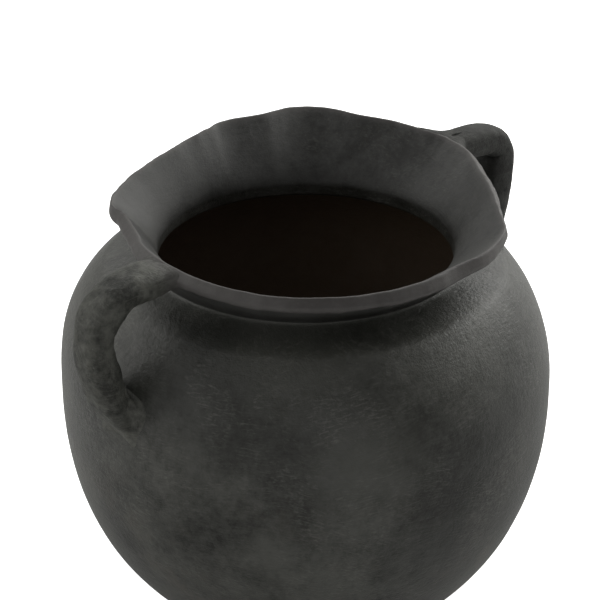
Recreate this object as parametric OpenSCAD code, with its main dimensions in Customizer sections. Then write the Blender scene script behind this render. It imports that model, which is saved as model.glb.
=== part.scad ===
// Black clay pot with a flared, pinched rim and two looped handles.
// It is built as a potter builds it: a bowl opened from one lump, rings of wall added on
// scarfed seams, a flared rim set on the neck, and two coil handles luted to rim and shoulder.
// Millimetres, +Z up, the origin at the middle of the base, the handles along X.

/* [Body] */
// Widest diameter of the belly
belly_d = 300; // [250:2:360]
// Height of the widest ring above the ground
belly_z = 140; // [116:1:168]
// Diameter of the flat base
base_d = 170; // [140:1:204]
// Squareness of the curve below the widest ring, where 2 is an ellipse
lower_square = 2.2; // [1.9:0.1:2.6]
// Squareness of the shoulder curve, where 2 is an ellipse
upper_square = 2.6; // [2.2:0.1:3.1]
// Radius worked round the edge of the base
base_edge = 7; // [5:0.5:10]

/* [Wall] */
// Thickness of the scraped wall
wall_t = 8; // [6:0.2:9.6]
// Thickness of the floor
floor_t = 11; // [9:0.2:13.2]
// Radius worked round the inside corner of the floor
floor_corner = 16; // [13:1:20]
// How much higher a scarfed seam lies outside than inside
seam_bevel = 6; // [5:0.2:7.2]
// Height of the bowl that is opened from the first lump
bowl_h = 75; // [62:1:90]
// Height of the belly seam above the widest ring
belly_seam_rise = 12; // [10:0.5:15]

/* [Neck] */
// Inside diameter of the throat
throat_d = 178; // [148:1:214]
// Height of the throat above the widest ring
throat_rise = 89; // [80:1:107]
// Height over which the shoulder turns up into the throat
neck_turn_h = 10; // [8:0.5:12]
// How far the shoulder reaches out from the throat before it turns
neck_turn_w = 25; // [21:0.5:30]

/* [Rim] */
// How far the rim spreads out from the throat, on average
flare_w = 29; // [24:1:35]
// How far the rim rises above the throat, on average
flare_h = 33; // [28:1:40]
// Height above the throat where the flare starts to lean out
flare_start = 8.5; // [7:0.5:10]
// Thickness of the square-cut lip
lip_t = 8.6; // [7.2:0.1:10]
// Width of the worn bevel on each edge of the lip
lip_bevel = 1.2; // [1:0.1:1.5]
// How far the rim stands above and below its own average height
rim_tilt = 4; // [0:0.5:5]
// Direction of the rim's highest point
rim_high_at = 46; // [0:1:359]

/* [Handles] */
// How far the outer face of the left handle stands out past the belly
left_proud = 24; // [20:0.5:29]
// How far the outer face of the right handle stands out past the belly
right_proud = 29.5; // [24.5:0.5:35.5]
// Height above the widest ring where the left handle stands out furthest
left_crown_rise = 84; // [78:1:90]
// Height above the widest ring where the right handle stands out furthest
right_crown_rise = 96; // [90:1:102]
// Height above the widest ring where the handles meet the shoulder
handle_foot_rise = 27; // [22:1:33]
// Width of the handle coil, along the rim
coil_w = 23; // [19:0.5:28]
// Thickness of the handle coil, across the loop
coil_t = 20; // [16.5:0.5:24]

/* [Luting] */
// Radius of the soft clay worked in under the rim at each handle
rim_luting_r = 17; // [15:0.5:20]
// How far that clay stands off the rim
rim_luting_h = 10; // [8.5:0.5:12]
// Radius of the soft clay worked round each handle foot
foot_luting_r = 22; // [20:0.5:26]
// How far that clay stands off the shoulder
foot_luting_h = 14; // [12:0.5:17]

/* [Hidden] */

// Pinched lobes of the rim: direction in degrees, how far the lip stands out or in there,
// and how many degrees the face of the lip is turned down by the pinch
rim_lobes = [[0, 4, 0], [13, 3, 0], [26, 4, 0], [37, 10, 0], [46, 13.5, 0], [54, 9.5, 0],
             [62, 3.5, 0], [70, 2.5, 0], [79, -3.5, 5], [90, -9, 10], [103, -11.5, 10],
             [119, -8.5, 15], [131, -4, 25], [137, -2, 30], [145, -8.5, 20], [155, -11, 5],
             [168, -7.5, 0], [180, -5, 0], [194, -2, 0], [208, 1, 0], [224, 3.5, 0], [250, 4, 0],
             [263, 3, 5], [271, 1.5, 10], [280, 4, 15], [288, 5, 20], [294, 4.5, 25],
             [302, 0.5, 20], [311, -4, 20], [321, -6.5, 10], [333, -6, 5], [342, -3, 0],
             [350, 1.5, 0]];
// Each handle: its angle round the pot, how far it stands out, how high its crown is above
// the widest ring, and how far it lifts above its root before it turns down
left = [180, left_proud, left_crown_rise, 5];
right = [0, right_proud, right_crown_rise, 0];

// Number of steps along each curved stretch of the wall, the rim and the handles
wall_steps = 10;
flare_steps = 8;
rim_steps = 96;
handle_steps = 15;
coil_sides = 20;
mound_steps = 5;
// Number of sides that stand for a full circle in the preview of the wall
round_sides = 128;
// Depth of the skirt under a mound of clay, and the share of its radius that stays flat on top
mound_skirt = 4;
mound_top_share = 0.1;

belly_r = belly_d / 2;
base_r = base_d / 2;
throat_r = throat_d / 2;
neck_r = throat_r + wall_t;
throat_z = belly_z + throat_rise;

// How far the inside turns upright below the outside, in wall thicknesses
throat_drop = 0.75;

// Squareness of the handle coil's section, and its size at the rim and at the foot
coil_square = 2.4;
root_t_share = 0.82;
root_w_share = 1.1;
foot_t_share = 0.8;
foot_w_share = 1.15;
// How far a handle starts outside the lip's inner edge, and how deep its foot runs in
root_inset = 2;
foot_depth = 6;
// How far each stretch of a handle runs on from its root, into and out of its crown, and out
// of its foot before it bends, as a share of the way across or up
root_run = 0.6;
crown_run_in = 0.9;
crown_run_out = 0.42;
foot_run_out = 0.6;
foot_run_up = 0.2;
// Step along the path over which its direction is measured
path_step = 0.01;

// Superellipse that leaves radius r0 upright: its full height, its radius and its slope
function curve_height(r0, r1, h, n) = h / pow(1 - pow(r1 / r0, n), 1 / n);
function curve_radius(r0, c, n, dz) = r0 * pow(1 - pow(dz / c, n), 1 / n);
function curve_slope(r0, c, n, r, dz) = -(pow(dz / c, n - 1) / c) / (pow(r / r0, n - 1) / r0);

// Curve from radius r0 with slope m0 to radius r1 upright, over height h
function turn_radius(r0, m0, r1, h, u) =
    (2 * pow(u, 3) - 3 * pow(u, 2) + 1) * r0 + (pow(u, 3) - 2 * pow(u, 2) + u) * h * m0
    + (3 * pow(u, 2) - 2 * pow(u, 3)) * r1;

function bezier2(p0, p1, p2, t) = pow(1 - t, 2) * p0 + 2 * t * (1 - t) * p1 + pow(t, 2) * p2;
function bezier3(p0, p1, p2, p3, t) =
    pow(1 - t, 3) * p0 + 3 * t * pow(1 - t, 2) * p1 + 3 * pow(t, 2) * (1 - t) * p2 + pow(t, 3) * p3;

// Outside of the wall
lower_c = curve_height(belly_r, base_r, belly_z, lower_square);
turn_r = neck_r + neck_turn_w;
turn_z = throat_z - neck_turn_h;
upper_c = curve_height(belly_r, turn_r, turn_z - belly_z, upper_square);
turn_slope = curve_slope(belly_r, upper_c, upper_square, turn_r, turn_z - belly_z);

// Inside of the wall, one wall thickness in along the surface normal at the turn
bore_r = belly_r - wall_t;
normal_length = sqrt(1 + pow(turn_slope, 2));
inner_turn_r = turn_r - wall_t / normal_length;
inner_turn_z = turn_z + wall_t * turn_slope / normal_length;
inner_lower_c = curve_height(bore_r, base_r - wall_t, belly_z - floor_t, lower_square);
inner_upper_c = curve_height(bore_r, inner_turn_r, inner_turn_z - belly_z, upper_square);
inner_turn_slope = curve_slope(bore_r, inner_upper_c, upper_square, inner_turn_r,
                               inner_turn_z - belly_z);
inner_throat_z = throat_z - wall_t * throat_drop;

function outer_r(z) =
    z <= belly_z ? curve_radius(belly_r, lower_c, lower_square, belly_z - z)
    : z <= turn_z ? curve_radius(belly_r, upper_c, upper_square, z - belly_z)
    : turn_radius(turn_r, turn_slope, neck_r, throat_z - turn_z, (z - turn_z) / (throat_z - turn_z));
function inner_r(z) =
    z <= belly_z ? curve_radius(bore_r, inner_lower_c, lower_square, belly_z - z)
    : z <= inner_turn_z ? curve_radius(bore_r, inner_upper_c, upper_square, z - belly_z)
    : z <= inner_throat_z
    ? turn_radius(inner_turn_r, inner_turn_slope, throat_r, inner_throat_z - inner_turn_z,
                  (z - inner_turn_z) / (inner_throat_z - inner_turn_z))
    : throat_r;

// Outline points of each side of the wall between two heights
function outer_line(z0, z1) =
    [for (i = [0:wall_steps]) let (z = z0 + (z1 - z0) * i / wall_steps) [outer_r(z), z]];
function inner_line(z0, z1) =
    [for (i = [0:wall_steps]) let (z = z0 + (z1 - z0) * i / wall_steps) [inner_r(z), z]];

// Heights of the seams, measured at the middle of the wall
bowl_seam_z = bowl_h;
belly_seam_z = belly_z + belly_seam_rise;
neck_seam_z = turn_z - seam_bevel;

// Lobes run smoothly through their points, with the first and the last point joined up
lobe_count = len(rim_lobes);
function lobe_at(i) =
    let (turns = floor(i / lobe_count), p = rim_lobes[i - turns * lobe_count])
    [p[0] + 360 * turns, p[1], p[2]];
function lobe_slope(i) =
    let (before = lobe_at(i - 1), after = lobe_at(i + 1))
    (after - before) / (after[0] - before[0]);
function lobe_index(a) = len([for (p = rim_lobes) if (p[0] <= a) p]) - 1;
function lobe(a) =
    let (i = lobe_index(a), p = lobe_at(i), q = lobe_at(i + 1), w = q[0] - p[0], u = (a - p[0]) / w)
    turn_radius(p, lobe_slope(i), q, w, u) + (pow(u, 3) - pow(u, 2)) * w * lobe_slope(i + 1);

// Inner edge of the lip
function lip_r(a) = throat_r + flare_w + lobe(a)[1];
function lip_z(a) = throat_z + flare_h + rim_tilt * cos(a - rim_high_at);

// Direction up the flare at the lip, and the direction across the lip from inside to outside
function lip_run(a) =
    let (rise = [lip_r(a) - throat_r, lip_z(a) - throat_z - flare_start]) rise / norm(rise);
function lip_across(a) =
    let (run = lip_run(a), down = lobe(a)[2])
    [run[1] * cos(down) - run[0] * sin(down), -run[0] * cos(down) - run[1] * sin(down)];

// Middle of the seam under the rim, where a handle's luting sits
function rim_under(a) =
    [lip_r(a), lip_z(a)] + lip_t * lip_across(a) - rim_luting_r / 2 * lip_run(a);

// Section of the rim at one angle: up the inside, across the lip, and down the outside
function rim_section(a) =
    let (edge = [lip_r(a), lip_z(a)],
         inner_root = [throat_r, throat_z],
         inner_lean = [throat_r, throat_z + flare_start],
         run = lip_run(a),
         across = lip_across(a),
         outer_edge = edge + lip_t * across,
         outer_root = [neck_r, throat_z],
         outer_lean = [neck_r, outer_edge[1] - (outer_edge[0] - neck_r) * run[1] / run[0]])
    concat([for (i = [0:flare_steps]) bezier2(inner_root, inner_lean, edge - lip_bevel * run, i / flare_steps)],
           [edge + lip_bevel * across, outer_edge - lip_bevel * across],
           [for (i = [flare_steps:-1:0])
               bezier2(outer_root, outer_lean, outer_edge - lip_bevel * run, i / flare_steps)]);

// Path of a handle's middle line in its upright plane, as radius and height; t runs from 0 to 2
function handle_path(side, t) =
    let (root = [lip_r(side[0]) + root_inset, lip_z(side[0]) - coil_t * root_t_share / 2],
         crown = [belly_r + side[1] - coil_t / 2, belly_z + side[2]],
         foot_z = belly_z + handle_foot_rise,
         foot = [outer_r(foot_z) - foot_depth, foot_z])
    t <= 1 ? bezier3(root, [root[0] + (crown[0] - root[0]) * root_run, root[1] + side[3]],
                     [crown[0], crown[1] + (root[1] - crown[1]) * crown_run_in], crown, t)
    : bezier3(crown, [crown[0], crown[1] - (crown[1] - foot[1]) * crown_run_out],
              [foot[0] + (crown[0] - foot[0]) * foot_run_out,
               foot[1] + (crown[1] - foot[1]) * foot_run_up], foot, t - 1);

// Size of the coil along the path, full at the crown and changing towards both ends
function swell(at_root, at_foot, t) = t <= 1 ? 1 + (at_root - 1) * pow(1 - t, 2) : 1 + (at_foot - 1) * pow(t - 1, 2);
function round_power(x) = sign(x) * pow(abs(x), 2 / coil_square);

// One ring of the coil, square to the path
function coil_ring(side, t) =
    let (p = handle_path(side, t),
         ahead = handle_path(side, min(t + path_step, 2)) - handle_path(side, max(t - path_step, 0)),
         out = [-ahead[1], ahead[0]] / norm(ahead),
         half_t = coil_t * swell(root_t_share, foot_t_share, t) / 2,
         half_w = coil_w * swell(root_w_share, foot_w_share, t) / 2)
    [for (k = [0:coil_sides - 1])
        let (q = p + out * half_t * round_power(cos(360 * k / coil_sides)))
        [q[0], -half_w * round_power(sin(360 * k / coil_sides)), q[1]]];

// A closed skin over rings of points; closed_loop joins the last ring to the first
module skin(rings, closed_loop) {
    n = len(rings[0]);
    m = len(rings);
    sides = [for (i = [0:m - (closed_loop ? 1 : 2)], k = [0:n - 1])
                let (j = (i + 1) % m, l = (k + 1) % n)
                each [[i * n + k, j * n + k, j * n + l], [i * n + k, j * n + l, i * n + l]]];
    caps = closed_loop ? [] : [[for (k = [0:n - 1]) k], [for (k = [n - 1:-1:0]) (m - 1) * n + k]];
    polyhedron(points = [for (r = rings) each r], faces = concat(sides, caps), convexity = 6);
}

// One ring of wall between two seams; the top seam's bevel is given, because the neck ends flat
module wall_ring(z0, z1, top_bevel) {
    rotate_extrude($fn = round_sides)
        polygon(concat(outer_line(z0 + seam_bevel / 2, z1 + top_bevel / 2),
                       inner_line(z1 - top_bevel / 2, z0 - seam_bevel / 2)));
}

// Everything inside the outer face of the wall from the bowl seam to the throat
module body_core() {
    half_bevel = seam_bevel / 2;
    rotate_extrude($fn = round_sides)
        polygon(concat([[0, bowl_seam_z + half_bevel]],
                       outer_line(bowl_seam_z + half_bevel, belly_seam_z + half_bevel),
                       outer_line(belly_seam_z + half_bevel, neck_seam_z + half_bevel),
                       outer_line(neck_seam_z + half_bevel, throat_z), [[0, throat_z]]));
}

// A low mound of soft clay on the plane z = 0, with a skirt that is cut away by what it sits on
module mound(r, h) {
    levels = [for (i = [0:mound_steps]) let (u = 1 - (1 - mound_top_share) * i / mound_steps)
                 [r * u, h * (1 + cos(180 * u)) / 2]];
    skin([for (p = concat([[r, -mound_skirt]], levels))
             [for (k = [0:coil_sides - 1]) let (a = 360 * k / coil_sides) [p[0] * cos(a), p[0] * sin(a), p[1]]]],
         false);
}

module rim_shape() {
    skin([for (i = [0:rim_steps - 1])
             let (a = 360 * i / rim_steps)
             [for (p = rim_section(a)) [p[0] * cos(a), p[0] * sin(a), p[1]]]], true);
}

module handle_coil(side) {
    rotate([0, 0, side[0]])
        skin([for (i = [0:2 * handle_steps]) coil_ring(side, i / handle_steps)], false);
}

module handle(side) {
    difference() {
        handle_coil(side);
        body_core();
        rim_shape();
    }
}

// Soft clay worked in under the rim, where the handle leaves it
module rim_luting(side) {
    seat = rim_under(side[0]);
    facing = lip_across(side[0]);
    difference() {
        rotate([0, 0, side[0]])
            translate([seat[0], 0, seat[1]])
                rotate([0, atan2(facing[0], facing[1]), 0])
                    mound(rim_luting_r, rim_luting_h);
        body_core();
        rim_shape();
        handle_coil(side);
    }
}

// Soft clay worked round the foot of the handle on the shoulder
module foot_luting(side) {
    foot_z = belly_z + handle_foot_rise;
    foot_slope = curve_slope(belly_r, upper_c, upper_square, outer_r(foot_z), foot_z - belly_z);
    difference() {
        rotate([0, 0, side[0]])
            translate([outer_r(foot_z), 0, foot_z])
                rotate([0, atan2(1, -foot_slope), 0])
                    mound(foot_luting_r, foot_luting_h);
        body_core();
        handle_coil(side);
    }
}

module lower_bowl() {
    edge_z = base_edge;
    corner_z = floor_t + floor_corner;
    floor_r = inner_r(floor_t);
    color([0.17, 0.165, 0.155])
        rotate_extrude($fn = round_sides)
            polygon(concat([[0, 0]],
                           [for (i = [0:4]) bezier2([base_r - base_edge, 0], [base_r, 0],
                                                    [outer_r(edge_z), edge_z], i / 4)],
                           outer_line(edge_z + (bowl_seam_z - edge_z) / wall_steps,
                                      bowl_seam_z + seam_bevel / 2),
                           inner_line(bowl_seam_z - seam_bevel / 2, corner_z),
                           [for (i = [1:5]) bezier2([inner_r(corner_z), corner_z], [floor_r, floor_t],
                                                    [floor_r - floor_corner, floor_t], i / 5)],
                           [[0, floor_t]]));
}

module belly_coil() {
    color([0.16, 0.16, 0.15]) wall_ring(bowl_seam_z, belly_seam_z, seam_bevel);
}

module shoulder_coil() {
    color([0.17, 0.17, 0.16]) wall_ring(belly_seam_z, neck_seam_z, seam_bevel);
}

module neck_coil() {
    color([0.15, 0.15, 0.14]) wall_ring(neck_seam_z, throat_z, 0);
}

module flared_rim() {
    color([0.2, 0.195, 0.19]) rim_shape();
}

module left_handle() {
    color([0.22, 0.22, 0.21]) handle(left);
}

module right_handle() {
    color([0.22, 0.22, 0.21]) handle(right);
}

module left_rim_luting() {
    color([0.19, 0.19, 0.18]) rim_luting(left);
}

module right_rim_luting() {
    color([0.19, 0.19, 0.18]) rim_luting(right);
}

module left_foot_luting() {
    color([0.19, 0.19, 0.18]) foot_luting(left);
}

module right_foot_luting() {
    color([0.19, 0.19, 0.18]) foot_luting(right);
}

lower_bowl();
belly_coil();
shoulder_coil();
neck_coil();
flared_rim();
left_handle();
right_handle();
left_rim_luting();
right_rim_luting();
left_foot_luting();
right_foot_luting();
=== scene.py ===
import math

import bmesh
import bpy
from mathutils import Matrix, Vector, noise
from mathutils.bvhtree import BVHTree


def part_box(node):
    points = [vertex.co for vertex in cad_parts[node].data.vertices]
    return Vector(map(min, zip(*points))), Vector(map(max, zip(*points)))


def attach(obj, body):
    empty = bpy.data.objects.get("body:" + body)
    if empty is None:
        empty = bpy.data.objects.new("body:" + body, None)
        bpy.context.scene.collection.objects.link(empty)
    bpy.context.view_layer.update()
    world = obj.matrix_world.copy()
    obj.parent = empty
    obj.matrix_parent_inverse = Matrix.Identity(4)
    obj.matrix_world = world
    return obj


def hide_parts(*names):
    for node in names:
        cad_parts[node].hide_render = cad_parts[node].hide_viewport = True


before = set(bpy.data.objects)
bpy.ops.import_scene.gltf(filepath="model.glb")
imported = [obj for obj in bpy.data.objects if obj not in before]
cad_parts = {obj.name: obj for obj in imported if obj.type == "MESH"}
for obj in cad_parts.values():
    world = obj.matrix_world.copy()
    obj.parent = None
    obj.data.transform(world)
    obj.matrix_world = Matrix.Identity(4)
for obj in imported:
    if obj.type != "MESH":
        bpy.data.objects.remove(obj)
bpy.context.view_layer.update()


# ------------------------------------------------------------------ studio
# A plain white table in a white room, with soft boxes all round. Those on the camera's side are the
# weaker ones, so that the black clay is drawn by its edges.

view_turn = math.radians(-44)
view_rise = math.radians(29.5)
view_distance = 1.4
view_target = Vector((-0.0021, 0.0021, 0.1400))
aim_up = 0.0469
aim_left = 0.0037
lens_mm = 136
lamp_white = (1, 1, 0.965)
room_strength = 0.214

away = Vector((math.sin(view_turn) * math.cos(view_rise),
               -math.cos(view_turn) * math.cos(view_rise),
               math.sin(view_rise)))
sideways = Vector((math.cos(view_turn), math.sin(view_turn), 0))
upwards = away.cross(sideways)


def node(tree, kind, inputs=(), **settings):
    """Adds a node. inputs pairs a socket's name or number with a value or with another node's output."""
    made = tree.nodes.new(kind)
    for name, value in settings.items():
        setattr(made, name, value)
    for socket, value in dict(inputs).items():
        if isinstance(value, bpy.types.NodeSocket):
            tree.links.new(value, made.inputs[socket])
        else:
            made.inputs[socket].default_value = value
    return made


def maths(tree, operation, *values, clamp=False):
    """A Math node's result."""
    return node(tree, "ShaderNodeMath", enumerate(values), operation=operation, use_clamp=clamp).outputs[0]


def spread(tree, value, low, high, to_low=0.0, to_high=1.0, kind="SMOOTHSTEP"):
    """A value taken from one range to another, and held at its ends."""
    sockets = {"Value": value, "From Min": low, "From Max": high, "To Min": to_low, "To Max": to_high}
    return node(tree, "ShaderNodeMapRange", sockets, interpolation_type=kind).outputs[0]


def new_material(name, roughness):
    """A material with a Principled BSDF, ready for its colour and bump."""
    made = bpy.data.materials.new(name)
    made.use_nodes = True
    surface = made.node_tree.nodes["Principled BSDF"]
    surface.inputs["Roughness"].default_value = roughness
    return made, made.node_tree, surface


def soft_box(name, turn, rise, distance, width, height, power):
    """A light that faces the pot: its turn from the camera and its rise in degrees, its power in watts."""
    lamp = bpy.data.lights.new(name, "AREA")
    lamp.shape = "RECTANGLE"
    lamp.size = width
    lamp.size_y = height
    lamp.energy = power
    lamp.color = lamp_white
    box = bpy.data.objects.new(name, lamp)
    bpy.context.scene.collection.objects.link(box)
    angle = view_turn + math.radians(turn)
    lift = math.radians(rise)
    towards = Vector((math.sin(angle) * math.cos(lift), -math.cos(angle) * math.cos(lift), math.sin(lift)))
    box.location = view_target + towards * distance
    box.rotation_euler = towards.to_track_quat("Z", "Y").to_euler()


camera = bpy.data.objects.new("camera", bpy.data.cameras.new("camera"))
bpy.context.scene.collection.objects.link(camera)
camera.data.lens = lens_mm
camera.data.sensor_width = 36
camera.data.clip_end = 20
camera.location = Vector((0, 0, view_target.z)) + away * view_distance
aim = Vector((0, 0, view_target.z)) + upwards * aim_up - sideways * aim_left
camera.rotation_euler = (camera.location - aim).to_track_quat("Z", "Y").to_euler()
bpy.context.scene.camera = camera
bpy.context.scene.view_settings.view_transform = "Standard"

# The table glows for the camera alone: it is seen as plain white, and lights nothing by itself
table_half = 4.0
table_mesh = bpy.data.meshes.new("table")
table_mesh.from_pydata([(-table_half, -table_half, 0), (table_half, -table_half, 0),
                        (table_half, table_half, 0), (-table_half, table_half, 0)], [], [(0, 1, 2, 3)])
table = bpy.data.objects.new("table", table_mesh)
bpy.context.scene.collection.objects.link(table)
table_paint, table_nodes, table_surface = new_material("white_table", 0.9)
table_surface.inputs["Base Color"].default_value = (0.75, 0.75, 0.75, 1)
table_surface.inputs["Emission Color"].default_value = (1, 1, 1, 1)
table_seen = node(table_nodes, "ShaderNodeLightPath").outputs["Is Camera Ray"]
table_nodes.links.new(table_seen, table_surface.inputs["Emission Strength"])
table_surface.inputs["Specular IOR Level"].default_value = 0.1
table_mesh.materials.append(table_paint)

# Turn, rise, distance, width, height and power
soft_box("left_box", -95, 18, 1.6, 0.9, 1.2, 6.6)
soft_box("left_front_box", -50, 30, 1.6, 1.0, 1.0, 2.5)
soft_box("front_box", 5, 7, 2.0, 1.6, 0.7, 3.4)
soft_box("right_box", 100, 24, 1.6, 0.9, 1.2, 1.5)
soft_box("right_back_box", 124, 26, 1.9, 1.6, 1.3, 15.5)
soft_box("far_right_box", 146, 34, 1.9, 2.0, 1.3, 15.0)
soft_box("back_box", 180, 38, 1.8, 2.2, 1.0, 4.0)
soft_box("left_back_box", -138, 35, 1.8, 1.6, 1.2, 7.0)

room = bpy.data.worlds.new("white_room")
bpy.context.scene.world = room
room.use_nodes = True
room_nodes = room.node_tree
room_light = room_nodes.nodes["Background"]
seen = node(room_nodes, "ShaderNodeLightPath").outputs["Is Camera Ray"]
strength = spread(room_nodes, seen, 0, 1, room_strength, 1.0, kind="LINEAR")
room_nodes.links.new(strength, room_light.inputs["Strength"])
room_light.inputs["Color"].default_value = (1, 1, 1, 1)


# ------------------------------------------------------------------ black clay
# Local clay, scraped and wiped, then fired in a smothered kiln so that smoke turns it black right
# through. It is matte, with cloudy smoke marks, pale specks of grit and fine scratches.

def new_group(name, inputs, outputs, kind="ShaderNodeTree"):
    """An empty node group with named sockets: inputs gives each one's type and starting value."""
    group = bpy.data.node_groups.new(name, kind)
    for label, (socket_type, start) in inputs.items():
        socket = group.interface.new_socket(name=label, in_out="INPUT", socket_type=socket_type)
        if start is not None:
            socket.default_value = start
    for label, socket_type in outputs.items():
        group.interface.new_socket(name=label, in_out="OUTPUT", socket_type=socket_type)
    return group, group.nodes.new("NodeGroupInput"), group.nodes.new("NodeGroupOutput")


def blotches(tree, where, scale, detail=3.0, rough=0.55, twist=0.0):
    """Soft noise between 0 and 1."""
    sockets = {"Vector": where, "Scale": scale, "Detail": detail, "Roughness": rough, "Distortion": twist}
    return node(tree, "ShaderNodeTexNoise", sockets).outputs["Fac"]


# Cloudy marks that the smoke leaves, from a hand's width down to a fingertip
smoke_group, smoke_in, smoke_out = new_group(
    "smoke_clouds", {"Size": ("NodeSocketFloat", 0.05)}, {"Clouds": "NodeSocketFloat"})
smoke_where = node(smoke_group, "ShaderNodeTexCoord").outputs["Object"]
smoke_scale = maths(smoke_group, "DIVIDE", 1.0, smoke_in.outputs["Size"])
smoke_large = blotches(smoke_group, smoke_where, smoke_scale, 3.0, 0.5, 0.3)
smoke_small = blotches(smoke_group, smoke_where, maths(smoke_group, "MULTIPLY", smoke_scale, 4.3), 4.0, 0.6)
smoke_sum = maths(smoke_group, "MULTIPLY_ADD", smoke_small, 0.36,
                  maths(smoke_group, "MULTIPLY", smoke_large, 0.64))
smoke_group.links.new(spread(smoke_group, smoke_sum, 0.37, 0.63, kind="LINEAR"), smoke_out.inputs["Clouds"])

# Grit: mottling the size of rice, pale specks, and the grains that the fingers feel
grit_group, grit_in, grit_out = new_group(
    "clay_grit", {"Size": ("NodeSocketFloat", 0.0012)},
    {"Mottle": "NodeSocketFloat", "Specks": "NodeSocketFloat", "Grain": "NodeSocketFloat"})
grit_where = node(grit_group, "ShaderNodeTexCoord").outputs["Object"]
grit_scale = maths(grit_group, "DIVIDE", 1.0, grit_in.outputs["Size"])
grit_mottle = blotches(grit_group, grit_where, maths(grit_group, "MULTIPLY", grit_scale, 0.28), 4.0, 0.75)
grit_cells = node(grit_group, "ShaderNodeTexVoronoi", {
    "Vector": grit_where, "Scale": maths(grit_group, "MULTIPLY", grit_scale, 0.42)}).outputs["Distance"]
grit_thin = blotches(grit_group, grit_where, maths(grit_group, "MULTIPLY", grit_scale, 0.1), 2.0)
grit_reach = maths(grit_group, "MULTIPLY", spread(grit_group, grit_thin, 0.45, 0.75), 0.28)
grit_specks = spread(grit_group, grit_cells, 0.0, maths(grit_group, "ADD", grit_reach, 0.02), 1.0, 0.0)
grit_grain = blotches(grit_group, grit_where, grit_scale, 3.0, 0.6)
grit_group.links.new(spread(grit_group, grit_mottle, 0.3, 0.7, kind="LINEAR"), grit_out.inputs["Mottle"])
grit_group.links.new(grit_specks, grit_out.inputs["Specks"])
grit_group.links.new(grit_grain, grit_out.inputs["Grain"])

# Scraping: fine level streaks that a wet hand and a rib leave as the pot is turned. They run round a
# circle of one size, so that each is as many degrees long on the neck as on the belly
streak_width = 0.0013
streak_circle = 9.0
streak_drift = 0.03
scrape_group, scrape_in, scrape_out = new_group(
    "scraping", {"Width": ("NodeSocketFloat", streak_width)},
    {"Streaks": "NodeSocketFloat", "Scuffs": "NodeSocketFloat"})
scrape_where = node(scrape_group, "ShaderNodeTexCoord").outputs["Object"]
scrape_split = node(scrape_group, "ShaderNodeSeparateXYZ", {0: scrape_where}).outputs
scrape_turn = maths(scrape_group, "ARCTAN2", scrape_split["Y"], scrape_split["X"])
scrape_slip = blotches(scrape_group, scrape_where, 14.0, 2.0)
scrape_tall = maths(scrape_group, "MULTIPLY_ADD", scrape_slip, streak_drift, scrape_split["Z"])
scrape_line = node(scrape_group, "ShaderNodeCombineXYZ", {
    "X": maths(scrape_group, "MULTIPLY", maths(scrape_group, "COSINE", scrape_turn), streak_circle),
    "Y": maths(scrape_group, "MULTIPLY", maths(scrape_group, "SINE", scrape_turn), streak_circle),
    "Z": maths(scrape_group, "DIVIDE", scrape_tall, scrape_in.outputs["Width"])}).outputs[0]
scrape_fine = blotches(scrape_group, scrape_line, 1.0, 4.0, 0.7)
scrape_group.links.new(spread(scrape_group, scrape_fine, 0.3, 0.7, kind="LINEAR"),
                       scrape_out.inputs["Streaks"])

# Scuffs: short pale scratches from handling, in loose patches, laid three ways over the skin. Each is
# placed by its height and its turn round the pot, which is measured from the front so that its two
# ends meet at the back. The pull makes the scratches shorter at the front and back than at the sides
front_turn = math.radians(-44)
front_pull = 0.8704
scuff_radius = 0.14
scuff_stretch = (170.0, 900.0, 1.0)
scuff_ways = (2, -9, 20)


def scuff_measure(direction):
    """How far a place lies along a level direction."""
    return node(scrape_group, "ShaderNodeVectorMath", {0: scrape_where, 1: direction},
                operation="DOT_PRODUCT").outputs["Value"]


scuff_turn = maths(scrape_group, "ARCTAN2",
                   scuff_measure((math.cos(front_turn), math.sin(front_turn), 0)),
                   scuff_measure((math.sin(front_turn) * front_pull, -math.cos(front_turn) * front_pull, 0)))
scuff_bend = maths(scrape_group, "MULTIPLY", blotches(scrape_group, scrape_where, 30.0, 2.0), 0.006)
scuff_flat = node(scrape_group, "ShaderNodeCombineXYZ", {
    "X": maths(scrape_group, "MULTIPLY_ADD", scuff_turn, scuff_radius, scuff_bend),
    "Y": maths(scrape_group, "SUBTRACT", scrape_split["Z"], scuff_bend)}).outputs[0]
scuff_dots = blotches(scrape_group, scrape_where, 420.0, 3.0, 0.7)
scuff_fine = spread(scrape_group, scuff_dots, 0.45, 0.75, 0.0, 0.5)


def scuff_layer(number, way):
    """One layer of scratches, all laid the same way, with patches of its own."""
    laid = node(scrape_group, "ShaderNodeVectorRotate", {
        "Vector": scuff_flat, "Angle": math.radians(way)}, rotation_type="Z_AXIS").outputs[0]
    long = node(scrape_group, "ShaderNodeVectorMath", {
        0: laid, 1: scuff_stretch, 2: (0, 0, 7.0 * number)}, operation="MULTIPLY_ADD").outputs[0]
    scratches = spread(scrape_group, blotches(scrape_group, long, 1.0, 2.0, 0.6), 0.52, 0.64)
    moved = node(scrape_group, "ShaderNodeVectorMath", {
        0: scrape_where, 1: (0.31 * number, 0, 0)}, operation="ADD").outputs[0]
    patches = spread(scrape_group, blotches(scrape_group, moved, 22.0, 5.0, 0.7), 0.49, 0.64)
    worn = maths(scrape_group, "MULTIPLY_ADD", scratches, 0.65, scuff_fine)
    return maths(scrape_group, "MULTIPLY", worn, patches)


scuff_sum = scuff_layer(0, scuff_ways[0])
for number, way in enumerate(scuff_ways[1:], start=1):
    scuff_sum = maths(scrape_group, "MAXIMUM", scuff_sum, scuff_layer(number, way))
scrape_group.links.new(scuff_sum, scrape_out.inputs["Scuffs"])

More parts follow.
